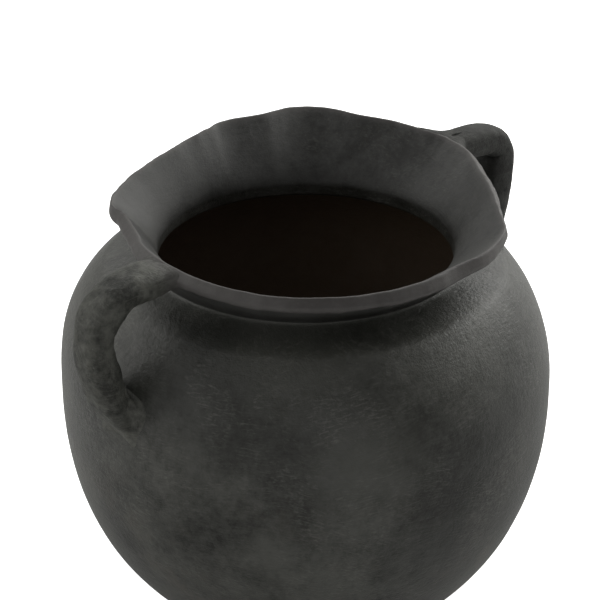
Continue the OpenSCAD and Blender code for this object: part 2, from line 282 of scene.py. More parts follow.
# Tones that lie over the smoked clay, and where they begin and end: the throat is where the wall
# goes over into the rim. The shoulder's paleness is partly painted light, and the darkening in the
# crease, low on the flare and in the throat is painted shade
shoulder_dust_and_light = (0.105, 0.106, 0.094, 1)
throat_painted_shade = (0.008, 0.0075, 0.006, 1)
cut_edge = (0.112, 0.100, 0.098, 1)
thin_smear = (0.058, 0.055, 0.052, 1)
ash_bloom = (0.088, 0.076, 0.062, 1)
pale_scratch = (0.125, 0.125, 0.112, 1)
unsmoked = (0.125, 0.092, 0.066, 1)
throat_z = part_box("flared_rim")[0][2]
# Heights in the throat where its painted shade fades out below, and the unsmoked clay takes over
throat_shade_bottom = throat_z - 0.015
throat_shade_full = throat_z - 0.008
smear_edge_r, smear_full_r = 0.132, 0.122


def mixed_colour(tree, share, first, second):
    """A colour between two colours."""
    sockets = {"Factor": share, "A": first, "B": second}
    return node(tree, "ShaderNodeMix", sockets, data_type="RGBA").outputs["Result"]


def painted(tree, name):
    """The share that a piece's own attribute gives: "inside" on the walls, "lip" on the rim."""
    return node(tree, "ShaderNodeAttribute", attribute_name=name).outputs["Fac"]


def tinted(tree, colour, tint, share, strength=1.0):
    """A colour with a tint laid over a share of it."""
    return mixed_colour(tree, maths(tree, "MULTIPLY", share, strength), colour, tint)


def band(tree, height, *levels):
    """A level band that comes in between its first two heights and goes out between its last two, all
    measured up from the throat."""
    rise_from, rise_to, fall_from, fall_to = [throat_z + level for level in levels]
    return maths(tree, "MULTIPLY", spread(tree, height, rise_from, rise_to),
                 spread(tree, height, fall_to, fall_from))


def smoke_marked(tree, colour, place, marks, dark, pale):
    """Broad ragged marks where the smoke lay longer, or where it was kept off."""
    for mark_place, mark_size, darker in marks:
        sockets = {0: place, 1: mark_place}
        gap = node(tree, "ShaderNodeVectorMath", sockets, operation="DISTANCE").outputs["Value"]
        ragged = maths(tree, "MULTIPLY_ADD", blotches(tree, place, 20.0, 4.0, 0.65), 0.06, gap)
        share = spread(tree, ragged, mark_size * 0.5 + 0.02, mark_size + 0.045, 0.75, 0.0)
        colour = mixed_colour(tree, share, colour, dark if darker else pale)
    return colour


def thin_on_lip(tree, place):
    """1 where a coil's end is smeared over the lip towards the axis of the pot, and 0 further out."""
    level = node(tree, "ShaderNodeVectorMath", {0: place, 1: (1, 1, 0)}, operation="MULTIPLY").outputs[0]
    from_axis = node(tree, "ShaderNodeVectorMath", {0: level}, operation="LENGTH").outputs["Value"]
    ragged = maths(tree, "MULTIPLY_ADD", blotches(tree, place, 90.0, 3.0), 0.010, from_axis)
    return spread(tree, ragged, smear_edge_r, smear_full_r)


def black_clay(name, dark, pale, roughness, smoke=0.06, grit=0.0012, streaks=0.3, grain=0.4, crust=0.3,
               scuffs=0.5, mottle=0.3, sheen=0.47, dust_and_painted_light=0.0, worn_root=0.0, marks=()):
    """Smoke-fired clay between a dark and a pale grey, with its streaks and grain in the bump.

    smoke and grit are sizes in metres. The other amounts run from 0 to 1: dust_and_painted_light for a
    wall's shoulder, made paler partly from dust and partly as painted light, and for the painted shade in
    the crease above it; worn_root for a coil's end that thins out over the lip."""
    made, tree, surface = new_material(name, roughness)
    clouds = node(tree, "ShaderNodeGroup", {"Size": smoke}, node_tree=smoke_group).outputs["Clouds"]
    grains = node(tree, "ShaderNodeGroup", {"Size": grit}, node_tree=grit_group).outputs
    lines = node(tree, "ShaderNodeGroup", {"Width": streak_width}, node_tree=scrape_group).outputs
    place = node(tree, "ShaderNodeTexCoord").outputs["Object"]
    height = node(tree, "ShaderNodeSeparateXYZ", {0: place}).outputs["Z"]
    inner_face = spread(tree, painted(tree, "inside"), 0.4, 0.6)
    outer_face = maths(tree, "SUBTRACT", 1.0, inner_face)

    # The smoke's own tone, from clouds down to single grains
    tone = maths(tree, "MULTIPLY", clouds, 1 - mottle - streaks * 0.5)
    tone = maths(tree, "MULTIPLY_ADD", grains["Mottle"], mottle, tone)
    tone = maths(tree, "MULTIPLY_ADD", lines["Streaks"], streaks * 0.5, tone, clamp=True)
    tone = spread(tree, tone, 0.22, 0.78, kind="LINEAR")
    colour = mixed_colour(tree, tone, dark, pale)

    # The slope of the shoulder is paler, partly from dust and partly as painted light on its upward face,
    # with smoke marks over it; above it lies the crease under the rim
    dust_and_light = maths(tree, "MULTIPLY", band(tree, height, -0.064, -0.024, -0.010, -0.0055), outer_face)
    colour = tinted(tree, colour, shoulder_dust_and_light, dust_and_light, dust_and_painted_light)
    colour = smoke_marked(tree, colour, place, marks, dark, pale)
    # The crease under the rim is darkened as painted shade
    crease_shade = maths(tree, "MULTIPLY", band(tree, height, -0.0095, -0.005, -0.0015, 0.0), outer_face)
    colour = tinted(tree, colour, dark, crease_shade, dust_and_painted_light)

    # Painted shade darkens the flare low down and the inside of the neck at the throat, and the cut face of
    # the lip is rubbed pale
    flare_shade = maths(tree, "MULTIPLY", band(tree, height, -0.0005, 0.0, 0.001, 0.013), 1 - worn_root)
    throat_shade = maths(tree, "MULTIPLY", inner_face, spread(tree, height, throat_shade_bottom, throat_shade_full))
    colour = tinted(tree, colour, throat_painted_shade, maths(tree, "MAXIMUM", flare_shade, throat_shade), 0.75)
    colour = tinted(tree, colour, cut_edge, painted(tree, "lip"), 0.42)
    colour = tinted(tree, colour, thin_smear, thin_on_lip(tree, place), worn_root)

    # Ash settles low on the pot as a brownish bloom, and handling bares grit and scratches
    low = spread(tree, height, 0.17, 0.03)
    bloom = maths(tree, "MULTIPLY", low, spread(tree, blotches(tree, place, 24.0, 6.0, 0.7), 0.50, 0.68))
    colour = tinted(tree, colour, ash_bloom, bloom, 0.55)
    worn = maths(tree, "MAXIMUM", maths(tree, "MULTIPLY", grains["Specks"], crust),
                 maths(tree, "MULTIPLY", lines["Scuffs"], scuffs))
    colour = tinted(tree, colour, pale_scratch, worn)
    deep_inside = maths(tree, "MULTIPLY", inner_face, spread(tree, height, throat_shade_full, throat_shade_bottom))
    colour = tinted(tree, colour, unsmoked, deep_inside)
    tree.links.new(colour, surface.inputs["Base Color"])

    # Pale clay is rougher, and catches the light more
    polish = spread(tree, tone, 0.0, 1.0, roughness - 0.06, roughness + 0.1, kind="LINEAR")
    tree.links.new(polish, surface.inputs["Roughness"])
    gloss = spread(tree, tone, 0.0, 1.0, sheen - 0.15, sheen + 0.15, kind="LINEAR")
    tree.links.new(gloss, surface.inputs["Specular IOR Level"])

    relief = maths(tree, "MULTIPLY", lines["Streaks"], streaks)
    relief = maths(tree, "MULTIPLY_ADD", grains["Grain"], grain, relief)
    relief = maths(tree, "MULTIPLY_ADD", grains["Mottle"], grain * 1.6, relief)
    bump = node(tree, "ShaderNodeBump", {"Strength": 0.6, "Distance": 0.0006, "Height": relief})
    tree.links.new(bump.outputs["Normal"], surface.inputs["Normal"])
    return made


# Each smoke mark: its middle, its size, and whether it is darker or paler than the clay round it
smoke_marks = (((-0.120, -0.050, 0.210), 0.055, True), ((-0.090, -0.112, 0.186), 0.055, True),
               ((0.015, -0.150, 0.125), 0.085, True), ((-0.075, -0.128, 0.165), 0.035, False),
               ((-0.080, -0.080, 0.220), 0.042, False), ((0.000, -0.120, 0.220), 0.045, False))
scraped_clay = black_clay("scraped_clay", (0.0150, 0.0153, 0.0128, 1), (0.056, 0.0567, 0.0490, 1), 0.43,
                          sheen=0.45, dust_and_painted_light=0.2, marks=smoke_marks)


# ------------------------------------------------------------------ wall of the pot
# The bowl is opened from one lump on a turning plate, and three coils are added on slanted seams
# and scraped until the joins no longer show. Each ring is spun here from its own section.

belly_r, _, belly_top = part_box("belly_coil")[1]
widest_z = 0.140
base_r = 0.085
throat_r = 0.089
wall_thick = 0.008
floor_thick = 0.011
lower_square = 2.2
upper_square = 2.6
base_round = 0.007
floor_round = 0.016
seam_bevel = 0.006
neck_r = throat_r + wall_thick
turn_r = neck_r + 0.025
turn_z = throat_z - 0.010
seam_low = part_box("lower_bowl")[1][2] - seam_bevel / 2
seam_mid = belly_top - seam_bevel / 2
seam_high = turn_z - seam_bevel
row_height = 0.0022
wall_steps_round = 420


def curve_height(start_r, end_r, rise, square):
    """Full height of the superellipse that leaves start_r upright and passes end_r after a rise."""
    return rise / (1 - (end_r / start_r) ** square) ** (1 / square)


def curve_slope(start_r, full, square, r, rise):
    """How fast the radius changes with height on that curve."""
    return -((rise / full) ** (square - 1) / full) / ((r / start_r) ** (square - 1) / start_r)


class Side:
    """One face of the wall: a bulging belly, a shoulder, and a turn up into the throat."""

    def __init__(self, wide_r, foot_r, foot_z, bend_r, bend_z, top_r, top_z):
        self.wide_r, self.top_r, self.top_z = wide_r, top_r, top_z
        self.bend_r, self.bend_z = bend_r, bend_z
        self.lower = curve_height(wide_r, foot_r, widest_z - foot_z, lower_square)
        self.upper = curve_height(wide_r, bend_r, bend_z - widest_z, upper_square)
        self.slope = curve_slope(wide_r, self.upper, upper_square, bend_r, bend_z - widest_z)

    def radius(self, z):
        """How far the face is from the axis at a height."""
        if z <= widest_z:
            return self.wide_r * (1 - ((widest_z - z) / self.lower) ** lower_square) ** (1 / lower_square)
        if z <= self.bend_z:
            return self.wide_r * (1 - ((z - widest_z) / self.upper) ** upper_square) ** (1 / upper_square)
        if z >= self.top_z:
            return self.top_r
        rise = self.top_z - self.bend_z
        u = (z - self.bend_z) / rise
        return ((2 * u ** 3 - 3 * u ** 2 + 1) * self.bend_r + (u ** 3 - 2 * u ** 2 + u) * rise * self.slope
                + (3 * u ** 2 - 2 * u ** 3) * self.top_r)

    def line(self, z0, z1):
        """Points along the face from one height to another, closer together where it turns."""
        steps = max(6, round(abs(z1 - z0) / row_height))
        if max(z0, z1) > self.bend_z:
            steps *= 3
        heights = [z0 + (z1 - z0) * i / steps for i in range(steps + 1)]
        return [(self.radius(z), z) for z in heights]


outside = Side(belly_r, base_r, 0, turn_r, turn_z, neck_r, throat_z)
lean = math.hypot(1, outside.slope)
inside = Side(belly_r - wall_thick, base_r - wall_thick, floor_thick, turn_r - wall_thick / lean,
              turn_z + wall_thick * outside.slope / lean, throat_r, throat_z - 0.75 * wall_thick)


def bow(start, middle, end, steps):
    """Points of a three-point curve, without its first."""
    shares = [(i + 1) / steps for i in range(steps)]
    return [tuple((1 - t) ** 2 * a + 2 * t * (1 - t) * b + t ** 2 * c for a, b, c in zip(start, middle, end))
            for t in shares]


def section_of(outer_points, inner_points):
    """A section's points as (radius, 0 outside or 1 inside, height)."""
    return [(r, 0, z) for r, z in outer_points] + [(r, 1, z) for r, z in inner_points]


def wall_section(low, high, flat_top=False):
    """A ring's outline between two seams that are higher outside than inside."""
    drop = seam_bevel / 2
    top_drop = 0 if flat_top else drop
    return section_of(outside.line(low + drop, high + top_drop), inside.line(high - top_drop, low - drop))


# The bowl's section starts and ends on the axis, where its points are merged into one
floor_r = inside.radius(floor_thick)
corner_z = floor_thick + floor_round
floor_rings = 24
floor_flat_r = floor_r - floor_round
foot_flat_r = base_r - base_round
bowl_section = section_of(
    [(foot_flat_r * i / floor_rings, 0) for i in range(floor_rings + 1)]
    + bow((foot_flat_r, 0), (base_r, 0), (outside.radius(base_round), base_round), 6)
    + outside.line(base_round, seam_low + seam_bevel / 2)[1:],
    inside.line(seam_low - seam_bevel / 2, corner_z)
    + bow((inside.radius(corner_z), corner_z), (floor_r, floor_thick), (floor_flat_r, floor_thick), 8)
    + [(floor_flat_r * (1 - i / floor_rings), floor_thick) for i in range(1, floor_rings + 1)])

# Hand wobble: the pot is only nearly round, and its shoulder sags a millimetre to one side. What
# touches moves together, because the push depends on nothing but the place. It fades out at the ground
wobble_inputs = {"Wobble": ("NodeSocketFloat", 0.0004), "Wobble Size": ("NodeSocketFloat", 0.10),
                 "Dent": ("NodeSocketFloat", 0.0002), "Dent Size": ("NodeSocketFloat", 0.026),
                 "Seed": ("NodeSocketFloat", 3.0), "Sag": ("NodeSocketVector", (-0.0011, 0.0010, 0))}
wobble_group, wobble_in, wobble_out = new_group(
    "hand_wobble", {"Geometry": ("NodeSocketGeometry", None), **wobble_inputs},
    {"Geometry": "NodeSocketGeometry"}, kind="GeometryNodeTree")
wobble_place = node(wobble_group, "GeometryNodeInputPosition").outputs[0]
wobble_from = node(wobble_group, "ShaderNodeVectorMath", {0: wobble_place, 1: (0, 0, widest_z)},
                   operation="SUBTRACT")
wobble_way = node(wobble_group, "ShaderNodeVectorMath", {0: wobble_from.outputs[0]}, operation="NORMALIZE")


def push(amount, size):
    """A smooth push inwards, by up to the amount."""
    sockets = {"Vector": wobble_place, "W": wobble_in.outputs["Seed"], "Detail": 1.5,
               "Scale": maths(wobble_group, "DIVIDE", 1.0, wobble_in.outputs[size])}
    value = node(wobble_group, "ShaderNodeTexNoise", sockets, noise_dimensions="4D").outputs["Fac"]
    inwards = spread(wobble_group, value, 0.3, 0.7, -1.0, 0.0, kind="LINEAR")
    return maths(wobble_group, "MULTIPLY", inwards, wobble_in.outputs[amount])


wobble_height = node(wobble_group, "ShaderNodeSeparateXYZ", {0: wobble_place}).outputs["Z"]
wobble_fade = spread(wobble_group, wobble_height, 0.004, 0.04)
wobble_push = maths(wobble_group, "MULTIPLY", wobble_fade, maths(
    wobble_group, "ADD", push("Wobble", "Wobble Size"), push("Dent", "Dent Size")))
wobble_sag = maths(wobble_group, "MULTIPLY", spread(wobble_group, wobble_height, 0.145, 0.190),
                   spread(wobble_group, wobble_height, 0.205, throat_z, 1.0, 0.0))


def wobble_vectors(operation, *values, **sockets):
    """A Vector Math node's result, in the wobble's tree."""
    return node(wobble_group, "ShaderNodeVectorMath", {**dict(enumerate(values)), **sockets},
                operation=operation).outputs[0]


wobble_sum = wobble_vectors("ADD", wobble_vectors("SCALE", wobble_way.outputs[0], Scale=wobble_push),
                            wobble_vectors("SCALE", wobble_in.outputs["Sag"], Scale=wobble_sag))
wobble_moved = node(wobble_group, "GeometryNodeSetPosition", {
    "Geometry": wobble_in.outputs["Geometry"], "Offset": wobble_sum})
wobble_group.links.new(wobble_moved.outputs[0], wobble_out.inputs["Geometry"])

# Spinning: a grid with the section along one side and the turn along the other
spin_group, spin_in, spin_out = new_group(
    "spin_section",
    {"Section": ("NodeSocketGeometry", None), "Steps Round": ("NodeSocketInt", wall_steps_round)},
    {"Grid": "NodeSocketGeometry", "Turn": "NodeSocketFloat", "Point": "NodeSocketVector"},
    kind="GeometryNodeTree")
spin_count = node(spin_group, "GeometryNodeAttributeDomainSize", {0: spin_in.outputs["Section"]}).outputs[0]
spin_grid = node(spin_group, "GeometryNodeMeshGrid", {
    "Size X": 1.0, "Size Y": 1.0,
    "Vertices X": maths(spin_group, "ADD", spin_in.outputs["Steps Round"], 1.0),
    "Vertices Y": maths(spin_group, "ADD", spin_count, 1.0)})
spin_place = node(spin_group, "ShaderNodeSeparateXYZ", {
    0: node(spin_group, "GeometryNodeInputPosition").outputs[0]}).outputs
spin_turn = maths(spin_group, "MULTIPLY", maths(spin_group, "ADD", spin_place["X"], 0.5), math.tau)
spin_row = maths(spin_group, "MULTIPLY", maths(spin_group, "ADD", spin_place["Y"], 0.5), spin_count)
spin_index = maths(spin_group, "MODULO", maths(spin_group, "ROUND", spin_row), spin_count)
spin_sample = node(spin_group, "GeometryNodeSampleIndex", {
    "Geometry": spin_in.outputs["Section"], "Index": spin_index}, data_type="FLOAT_VECTOR")
spin_source = node(spin_group, "GeometryNodeInputPosition").outputs[0]
spin_group.links.new(spin_source, spin_sample.inputs["Value"])
spin_group.links.new(spin_grid.outputs["Mesh"], spin_out.inputs["Grid"])
spin_group.links.new(spin_turn, spin_out.inputs["Turn"])
spin_group.links.new(spin_sample.outputs[0], spin_out.inputs["Point"])

# Finishing: close the seams, smooth the faces but keep the worked edges crisp, and give the clay
finish_group, finish_in, finish_out = new_group(
    "close_and_finish",
    {"Geometry": ("NodeSocketGeometry", None), "Crisp Edge": ("NodeSocketFloat", math.radians(38)),
     "Clay": ("NodeSocketMaterial", None)},
    {"Geometry": "NodeSocketGeometry"}, kind="GeometryNodeTree")
finish_merge = node(finish_group, "GeometryNodeMergeByDistance", {
    "Geometry": finish_in.outputs["Geometry"], "Distance": 0.00002})
finish_smooth = node(finish_group, "GeometryNodeSetShadeSmooth", {"Geometry": finish_merge.outputs[0]})
finish_angle = node(finish_group, "GeometryNodeInputMeshEdgeAngle").outputs["Unsigned Angle"]
finish_crisp = node(finish_group, "GeometryNodeStoreNamedAttribute", {
    "Geometry": finish_smooth.outputs[0], "Name": "sharp_edge",
    "Value": maths(finish_group, "GREATER_THAN", finish_angle, finish_in.outputs["Crisp Edge"])},
    data_type="BOOLEAN", domain="EDGE")
finish_real = node(finish_group, "GeometryNodeRealizeInstances", {"Geometry": finish_crisp.outputs[0]})
finish_clay = node(finish_group, "GeometryNodeSetMaterial", {
    "Geometry": finish_real.outputs[0], "Material": finish_in.outputs["Clay"]})
finish_group.links.new(finish_clay.outputs[0], finish_out.inputs["Geometry"])


def finish_by_hand(tree, tree_in, tree_out, shaped):
    """Ends a tree: what it has shaped gets its hand wobble, its closed skin and its clay."""
    wobbles = {label: tree_in.outputs[label] for label in wobble_inputs}
    worked = node(tree, "GeometryNodeGroup", {
        "Geometry": shaped.outputs[0], **wobbles}, node_tree=wobble_group)
    finished = node(tree, "GeometryNodeGroup", {
        "Geometry": worked.outputs[0], "Clay": tree_in.outputs["Clay"]}, node_tree=finish_group)
    tree.links.new(finished.outputs[0], tree_out.inputs["Geometry"])


def spun(tree, tree_in):
    """The grid, the turn and the section point that spinning gives a tree."""
    return node(tree, "GeometryNodeGroup", {
        "Section": tree_in.outputs["Section"], "Steps Round": tree_in.outputs["Steps Round"]},
        node_tree=spin_group).outputs


def laid_round(tree, turn, r, z):
    """The place at a turn, a radius and a height."""
    return node(tree, "ShaderNodeCombineXYZ", {
        "X": maths(tree, "MULTIPLY", r, maths(tree, "COSINE", turn)),
        "Y": maths(tree, "MULTIPLY", r, maths(tree, "SINE", turn)), "Z": z}).outputs[0]


wall_tree, wall_in, wall_out = new_group(
    "spun_wall",
    {"Section": ("NodeSocketGeometry", None), "Steps Round": ("NodeSocketInt", wall_steps_round),
     **wobble_inputs, "Clay": ("NodeSocketMaterial", None)},
    {"Geometry": "NodeSocketGeometry"}, kind="GeometryNodeTree")
wall_spin = spun(wall_tree, wall_in)
wall_point = node(wall_tree, "ShaderNodeSeparateXYZ", {0: wall_spin["Point"]}).outputs
wall_marked = node(wall_tree, "GeometryNodeStoreNamedAttribute", {
    "Geometry": wall_spin["Grid"], "Name": "inside", "Value": wall_point["Y"]},
    data_type="FLOAT", domain="POINT")
wall_set = node(wall_tree, "GeometryNodeSetPosition", {
    "Geometry": wall_marked.outputs[0],
    "Position": laid_round(wall_tree, wall_spin["Turn"], wall_point["X"], wall_point["Z"])})
finish_by_hand(wall_tree, wall_in, wall_out, wall_set)


def face_outwards(mesh):
    """Turns the whole closed skin the right way out, if its volume comes out negative."""
    skin = bmesh.new()
    skin.from_mesh(mesh)
    if skin.calc_volume(signed=True) < 0:
        bmesh.ops.reverse_faces(skin, faces=skin.faces)
        skin.to_mesh(mesh)
    skin.free()


def grow(name, tree, points, settings):
    """Runs a tree on section points and keeps the result as a plain closed mesh."""
    outline = bpy.data.meshes.new(name + "_section")
    outline.from_pydata(points, [(i, i + 1) for i in range(len(points) - 1)], [])
    maker = bpy.data.objects.new(name + "_maker", outline)
    bpy.context.scene.collection.objects.link(maker)
    modifier = maker.modifiers.new("spin", "NODES")
    modifier.node_group = tree
    for item in tree.interface.items_tree:
        if item.in_out == "INPUT" and item.name in settings:
            modifier[item.identifier] = settings[item.name]
    bpy.context.view_layer.update()
    mesh = bpy.data.meshes.new_from_object(maker.evaluated_get(bpy.context.evaluated_depsgraph_get()))
    maker.modifiers.clear()
    bpy.data.objects.remove(maker)
    mesh.name = name
    piece = bpy.data.objects.new(name, mesh)
    bpy.context.scene.collection.objects.link(piece)
    face_outwards(mesh)
    return piece


wall_rings = {
    "lower_bowl": bowl_section,
    "belly_coil": wall_section(seam_low, seam_mid),
    "shoulder_coil": wall_section(seam_mid, seam_high),
    "neck_coil": wall_section(seam_high, throat_z, flat_top=True)}
wall_pieces = {}
for ring_name, section in wall_rings.items():
    ring = grow(ring_name + "_clay", wall_tree, section, {"Clay": scraped_clay})
    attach(ring, "root")
    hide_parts(ring_name)
    wall_pieces[ring_name] = ring


# ------------------------------------------------------------------ flared rim
# A last coil is drawn out into a wide flare, cut square along its edge, and pinched by hand into
# lobes and soft points, so no two stretches of the lip stand out or tilt alike.

flare_width = 0.029
flare_height = 0.033
lean_height = 0.0085
lip_thick = 0.0086
lip_band = 0.07
inner_soft, outer_soft = 0.20, 0.34
rim_tilt = 0.004
rim_high_side = math.radians(46)
# Round the rim in degrees: how far the lip stands out or in, in millimetres, and how many degrees
# the pinch turns its cut face down
rim_pinches = [
    (0, 4, 0), (13, 3, 0), (26, 4, 0), (37, 10, 0), (46, 13.5, 0), (54, 9.5, 0), (62, 3.5, 0), (70, 2.5, 0),
    (79, -3.5, 5), (90, -9, 10), (103, -11.5, 10), (119, -8.5, 15), (131, -4, 25), (137, -2, 30),
    (145, -8.5, 20), (155, -11, 5), (168, -7.5, 0), (180, -5, 0), (194, -2, 0), (208, 1, 0), (224, 3.5, 0),
    (250, 4, 0), (263, 3, 5), (271, 1.5, 10), (280, 4, 15), (288, 5, 20), (294, 4.5, 25), (302, 0.5, 20),
    (311, -4, 20), (321, -6.5, 10), (333, -6, 5), (342, -3, 0), (350, 1.5, 0), (360, 4, 0)]
pinch_low, pinch_high = -15, 15
roll_high = 40

rim_tree, rim_in, rim_out = new_group(
    "pinched_rim",
    {"Section": ("NodeSocketGeometry", None), "Steps Round": ("NodeSocketInt", wall_steps_round),
     "Throat Radius": ("NodeSocketFloat", throat_r), "Neck Radius": ("NodeSocketFloat", neck_r),
     "Throat Height": ("NodeSocketFloat", throat_z), "Flare Width": ("NodeSocketFloat", flare_width),
     "Flare Height": ("NodeSocketFloat", flare_height), "Lean Height": ("NodeSocketFloat", lean_height),
     "Lip Thickness": ("NodeSocketFloat", lip_thick), "Tilt": ("NodeSocketFloat", rim_tilt),
     "High Side": ("NodeSocketFloat", rim_high_side), "Cut Unevenness": ("NodeSocketFloat", 0.0006),
     "Cut Size": ("NodeSocketFloat", 0.016),
     **wobble_inputs, "Clay": ("NodeSocketMaterial", None)},
    {"Geometry": "NodeSocketGeometry"}, kind="GeometryNodeTree")


def rim_value(label):
    """One of the sizes that the rim's tree takes in."""
    return rim_in.outputs[label]


def rim_maths(operation, *values):
    """A Math node's result, in the rim's tree."""
    return maths(rim_tree, operation, *values)


def upright_point(r, z):
    """A point in the upright plane of a section: radius along X, height along Z."""
    return node(rim_tree, "ShaderNodeCombineXYZ", {"X": r, "Z": z}).outputs[0]


def rim_vectors(operation, *values, **sockets):
    """A Vector Math node's result, in the rim's tree."""
    return node(rim_tree, "ShaderNodeVectorMath", {**dict(enumerate(values)), **sockets},
                operation=operation).outputs[0]


def scaled(vector, amount):
    """A vector made longer or shorter."""
    return rim_vectors("SCALE", vector, Scale=amount)


def hand_curve(column, low, high):
    """A curve through the pinches, read by the share of the turn."""
    drawn = node(rim_tree, "ShaderNodeFloatCurve")
    line = drawn.mapping.curves[0]
    ends = [rim_pinches[0], rim_pinches[-1]]
    for spot, pinch in zip(line.points, ends):
        spot.location = (pinch[0] / 360, (pinch[column] - low) / (high - low))
    for pinch in rim_pinches[1:-1]:
        line.points.new(pinch[0] / 360, (pinch[column] - low) / (high - low))
    drawn.mapping.update()
    return drawn


rim_spin = spun(rim_tree, rim_in)
rim_turn = rim_spin["Turn"]
rim_share = rim_maths("DIVIDE", rim_turn, math.tau)
out_curve = hand_curve(1, pinch_low, pinch_high)
rim_tree.links.new(rim_share, out_curve.inputs["Value"])
stand_out = spread(rim_tree, out_curve.outputs[0], 0, 1, pinch_low / 1000, pinch_high / 1000, kind="LINEAR")
roll_curve = hand_curve(2, 0, roll_high)
rim_tree.links.new(rim_share, roll_curve.inputs["Value"])
roll = rim_maths("MULTIPLY", roll_curve.outputs[0], math.radians(roll_high))
cut_round_r = 0.12


def uneven(shift):
    """The small unevenness of a hand-cut edge, as a value near -1 to 1 that changes round the rim."""
    sockets = {"Vector": laid_round(rim_tree, rim_turn, cut_round_r, shift), "Detail": 2.5,
               "Scale": rim_maths("DIVIDE", 1.0, rim_value("Cut Size"))}
    drift = node(rim_tree, "ShaderNodeTexNoise", sockets).outputs["Fac"]
    return rim_maths("MULTIPLY_ADD", drift, 4.0, -2.0)


# Each face of the flare is a three-point curve, from the throat through a leaning point to the lip.
# The outer one follows from the lip's thickness and cut, and is parallel to the inner one at the lip
cut = rim_value("Cut Unevenness")
lip_r = rim_maths("ADD", rim_maths("ADD", rim_value("Throat Radius"), rim_value("Flare Width")), stand_out)
lip_lift = rim_maths("MULTIPLY", rim_value("Tilt"), rim_maths(
    "COSINE", rim_maths("SUBTRACT", rim_turn, rim_value("High Side"))))
lip_z = rim_maths("ADD", rim_maths("ADD", rim_value("Throat Height"), rim_value("Flare Height")), lip_lift)
lip_depth = rim_maths("MULTIPLY_ADD", uneven(2.0), cut, rim_value("Lip Thickness"))
lean_z = rim_maths("ADD", rim_value("Throat Height"), rim_value("Lean Height"))
edge = upright_point(lip_r, lip_z)
inner_root = upright_point(rim_value("Throat Radius"), rim_value("Throat Height"))
inner_lean = upright_point(rim_value("Throat Radius"), lean_z)
run = rim_vectors("NORMALIZE", rim_vectors("SUBTRACT", edge, inner_lean))
run_parts = node(rim_tree, "ShaderNodeSeparateXYZ", {0: run}).outputs
square_off = upright_point(run_parts["Z"], rim_maths("MULTIPLY", run_parts["X"], -1.0))
across = rim_vectors("SUBTRACT", scaled(square_off, rim_maths("COSINE", roll)),
                     scaled(run, rim_maths("SINE", roll)))
outer_edge = rim_vectors("ADD", edge, scaled(across, lip_depth))
outer_parts = node(rim_tree, "ShaderNodeSeparateXYZ", {0: outer_edge}).outputs
fall = rim_maths("DIVIDE", rim_maths("MULTIPLY", rim_maths(
    "SUBTRACT", outer_parts["X"], rim_value("Neck Radius")), run_parts["Z"]), run_parts["X"])
outer_root = upright_point(rim_value("Neck Radius"), rim_value("Throat Height"))
outer_lean = upright_point(rim_value("Neck Radius"), rim_maths("SUBTRACT", outer_parts["Z"], fall))

# The section's points hold how far up the flare they are and how far across from inside to outside
rim_point = node(rim_tree, "ShaderNodeSeparateXYZ", {0: rim_spin["Point"]}).outputs
flare_up, flare_across = rim_point["X"], rim_point["Z"]


def mixed(inner, outer):
    """A point between the rim's inside and its outside, by how far across the section point lies."""
    return node(rim_tree, "ShaderNodeMix", {"Factor": flare_across, "A": inner, "B": outer},
                data_type="VECTOR").outputs["Result"]


flare_left = rim_maths("SUBTRACT", 1.0, flare_up)
root_part = scaled(mixed(inner_root, outer_root), rim_maths("MULTIPLY", flare_left, flare_left))
lean_part = scaled(mixed(inner_lean, outer_lean), rim_maths(
    "MULTIPLY", rim_maths("MULTIPLY", flare_left, flare_up), 2.0))
tip_part = scaled(mixed(edge, outer_edge), rim_maths("MULTIPLY", flare_up, flare_up))
upright = rim_vectors("ADD", rim_vectors("ADD", root_part, lean_part), tip_part)

# The knife leaves the edge uneven, and the wet hand has smoothed the flare below it
rim_near_lip = rim_maths("MULTIPLY", cut, rim_maths("POWER", flare_up, 9.0))
upright = rim_vectors("ADD", upright, upright_point(
    rim_maths("MULTIPLY", uneven(0.0), rim_near_lip),
    rim_maths("MULTIPLY", uneven(1.0), rim_maths("MULTIPLY", rim_near_lip, 0.6))))
upright_parts = node(rim_tree, "ShaderNodeSeparateXYZ", {0: upright}).outputs
rim_lip_mark = node(rim_tree, "GeometryNodeStoreNamedAttribute", {
    "Geometry": rim_spin["Grid"], "Name": "lip", "Value": spread(rim_tree, flare_up, 1 - lip_band, 1.0)},
    data_type="FLOAT", domain="POINT")
rim_set = node(rim_tree, "GeometryNodeSetPosition", {
    "Geometry": rim_lip_mark.outputs[0],
    "Position": laid_round(rim_tree, rim_turn, upright_parts["X"], upright_parts["Z"])})
finish_by_hand(rim_tree, rim_in, rim_out, rim_set)

flare_rows = 28
lip_rows = 8
soft_steps = 6


def soft_corner(up_share, across_share):
    """A worn corner of the lip, from the face of the flare on to the cut edge."""
    turns = [math.pi / 2 * i / soft_steps for i in range(soft_steps + 1)]
    return [(1 - up_share * (1 - math.sin(turn)), across_share * (1 - math.cos(turn))) for turn in turns]


inner_corner = soft_corner(0.022, inner_soft)
outer_corner = soft_corner(0.045, outer_soft)
cut_flat = 1 - inner_soft - outer_soft
rim_section = (
    [(inner_corner[0][0] * i / flare_rows, 0, 0.0) for i in range(flare_rows)]
    + [(up, 0, over) for up, over in inner_corner]
    + [(1.0, 0, inner_soft + cut_flat * i / lip_rows) for i in range(1, lip_rows)]
    + [(up, 0, 1 - over) for up, over in reversed(outer_corner)]
    + [(outer_corner[0][0] * (1 - i / flare_rows), 0, 1.0) for i in range(1, flare_rows + 1)])

rim_clay = black_clay("rim_clay", (0.018, 0.0180, 0.0165, 1), (0.035, 0.0348, 0.0325, 1), 0.55,
                      streaks=0.15, grain=0.15, crust=0.2, scuffs=0.22, sheen=0.5)
rim = grow("flared_rim_clay", rim_tree, rim_section, {"Clay": rim_clay})
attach(rim, "root")
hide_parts("flared_rim")


# ------------------------------------------------------------------ handles
# Each handle is a coil of clay rolled by hand, bent into a loop, pressed over the lip and on to the
# shoulder, and squeezed between the fingers, which leaves flats, kinks and grooves.

